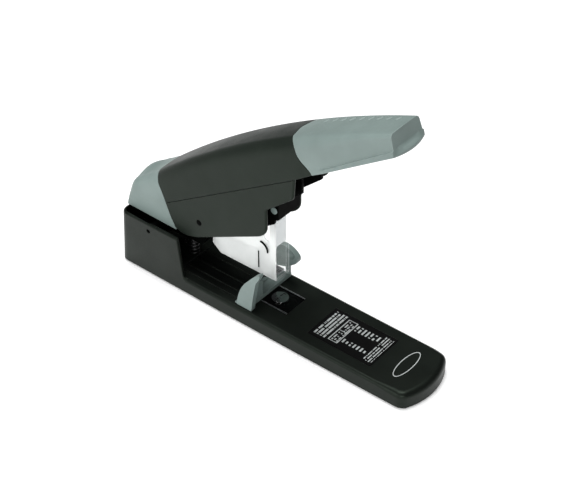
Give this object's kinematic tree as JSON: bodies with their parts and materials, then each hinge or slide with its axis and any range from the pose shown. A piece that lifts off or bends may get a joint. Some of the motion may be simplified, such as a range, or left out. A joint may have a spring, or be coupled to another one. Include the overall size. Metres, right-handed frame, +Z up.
{
  "type": "heavy-duty desk stapler",
  "caption": "Desk stapler with a long flat base, a raised curved lever handle, a clear staple housing over an anvil and a sliding paper guide.",
  "frame": {"origin": "centre of the base at the table, under the middle of the base's length and width", "axes": "+X along the base towards the nose, +Y to the stapler's left side, +Z up"},
  "size_m": [0.298, 0.062, 0.2284],
  "materials": {
    "black_plastic": "fine satin texture",
    "cover_plastic": "fine satin texture",
    "grey_plastic": "fine matt texture",
    "clear_plastic": "clear moulded plastic, slightly hazy",
    "black_metal": "black enamel",
    "steel": "zinc plated",
    "spring_steel": "drawn wire",
    "rubber": "matt",
    "label": "printed film",
    "badge": "printed ring"
  },
  "bodies": {
    "base": {"base_shell": "black_plastic", "base_plate": "steel", "rubber_feet": "rubber", "base_screws": "steel", "guide_rails": "black_metal", "anvil_tray": "black_metal", "anvil_disc": "steel", "anvil_screw": "steel", "instruction_panel": "label", "badge": "badge", "pivot_pin": "steel", "pivot_clips": "black_metal", "return_spring": "spring_steel", "magazine_spring": "spring_steel"},
    "guide": {"paper_guide": "grey_plastic"},
    "magazine": {"magazine_housing": "clear_plastic", "magazine_arm": "black_metal", "magazine_block": "black_plastic", "magazine_floor": "steel", "pusher_rod": "steel", "magazine_rivets": "steel", "housing_clip": "spring_steel", "pusher_spring": "spring_steel"},
    "pusher": {"pusher": "black_metal"},
    "driver": {"driver_blade": "steel", "driver_head": "black_plastic", "driver_pin": "steel"},
    "handle": {"handle_frame": "black_metal", "handle_cover": "cover_plastic", "side_cover_right": "cover_plastic", "side_cover_left": "cover_plastic", "cover_rivets": "black_metal", "front_pin": "grey_plastic", "lever_bar": "steel", "lever_pins": "steel", "grip": "grey_plastic", "rear_cap": "grey_plastic", "cover_screws": "steel"}
  },
  "joints": [
    {"name": "handle_hinge", "type": "hinge", "parent": "base", "child": "handle", "pos_m": [-0.115, 0, 0.046], "axis": [0, 1, 0], "range_deg": [0, 25.5], "stiffness_Nm_per_rad": 0.6, "springref_deg": -20.05, "deforming": ["return_spring"]},
    {"name": "magazine_hinge", "type": "hinge", "parent": "base", "child": "magazine", "pos_m": [-0.115, 0, 0.046], "axis": [0, 1, 0], "range_deg": [0, 10.3], "deforming": ["magazine_spring"]},
    {"name": "driver_slide", "type": "slide", "parent": "magazine", "child": "driver", "axis": [0, 0, -1], "range_m": [0, 0.0315]},
    {"name": "pusher_slide", "type": "slide", "parent": "magazine", "child": "pusher", "axis": [1, 0, 0], "range_m": [-0.02, 0], "stiffness_N_per_m": 20, "springref_m": 0.02, "deforming": ["pusher_spring"]},
    {"name": "guide_slide", "type": "slide", "parent": "base", "child": "guide", "axis": [1, 0, 0], "range_m": [-0.04, 0]}
  ],
  "couplings": [
    {"joint": "magazine_hinge", "follows": "handle_hinge", "ratio": 0.40392},
    {"joint": "driver_slide", "follows": "handle_hinge", "m_per_rad": 0.070775}
  ]
}
